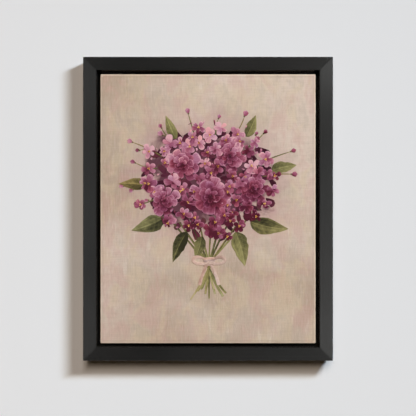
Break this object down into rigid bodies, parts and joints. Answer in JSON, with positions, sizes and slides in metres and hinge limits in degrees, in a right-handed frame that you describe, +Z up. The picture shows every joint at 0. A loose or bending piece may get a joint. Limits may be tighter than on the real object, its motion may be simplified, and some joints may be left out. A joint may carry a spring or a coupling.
{
  "type": "framed canvas picture",
  "caption": "Small upright stretched canvas with a painted posy, floated in a black wooden frame with a sawtooth hanger on its back.",
  "frame": {"origin": "the point on the wall under the middle tooth of the sawtooth hanger, where a nail carries the picture", "axes": "+Z up, -Y the way the picture faces with the wall at y = 0, +X to the right for someone who looks at the picture"},
  "size_m": [0.2352, 0.0348, 0.286],
  "materials": {
    "frame_lacquer": "satin black lacquer over close-grained wood",
    "pine": "bare planed pine",
    "beech": "bare sawn beech",
    "painted_canvas": "primed and painted cotton canvas, matte",
    "zinc_steel": "bright zinc-plated steel",
    "bumper_rubber": "matte dark grey rubber"
  },
  "bodies": {
    "root": {"canvas": "painted_canvas", "frame_rail_bottom": "frame_lacquer", "frame_rail_left": "frame_lacquer", "frame_rail_right": "frame_lacquer", "frame_rail_top": "frame_lacquer", "frame_screw_bottom_1": "zinc_steel", "frame_screw_bottom_2": "zinc_steel", "frame_screw_left_1": "zinc_steel", "frame_screw_left_2": "zinc_steel", "frame_screw_right_1": "zinc_steel", "frame_screw_right_2": "zinc_steel", "frame_screw_top_1": "zinc_steel", "frame_screw_top_2": "zinc_steel", "hanger_nail_left": "zinc_steel", "hanger_nail_right": "zinc_steel", "key_level_bottom_left": "beech", "key_level_bottom_right": "beech", "key_level_top_left": "beech", "key_level_top_right": "beech", "key_upright_bottom_left": "beech", "key_upright_bottom_right": "beech", "key_upright_top_left": "beech", "key_upright_top_right": "beech", "sawtooth_hanger": "zinc_steel", "staple_bottom_1": "zinc_steel", "staple_bottom_2": "zinc_steel", "staple_bottom_3": "zinc_steel", "staple_bottom_4": "zinc_steel", "staple_left_1": "zinc_steel", "staple_left_2": "zinc_steel", "staple_left_3": "zinc_steel", "staple_left_4": "zinc_steel", "staple_left_5": "zinc_steel", "staple_right_1": "zinc_steel", "staple_right_2": "zinc_steel", "staple_right_3": "zinc_steel", "staple_right_4": "zinc_steel", "staple_right_5": "zinc_steel", "staple_top_1": "zinc_steel", "staple_top_2": "zinc_steel", "staple_top_3": "zinc_steel", "staple_top_4": "zinc_steel", "stretcher_bar_bottom": "pine", "stretcher_bar_left": "pine", "stretcher_bar_right": "pine", "stretcher_bar_top": "pine", "v_nail_bottom_left_1": "zinc_steel", "v_nail_bottom_left_2": "zinc_steel", "v_nail_bottom_right_1": "zinc_steel", "v_nail_bottom_right_2": "zinc_steel", "v_nail_top_left_1": "zinc_steel", "v_nail_top_left_2": "zinc_steel", "v_nail_top_right_1": "zinc_steel", "v_nail_top_right_2": "zinc_steel", "wall_bumper_left": "bumper_rubber", "wall_bumper_right": "bumper_rubber"}
  },
  "joints": []
}
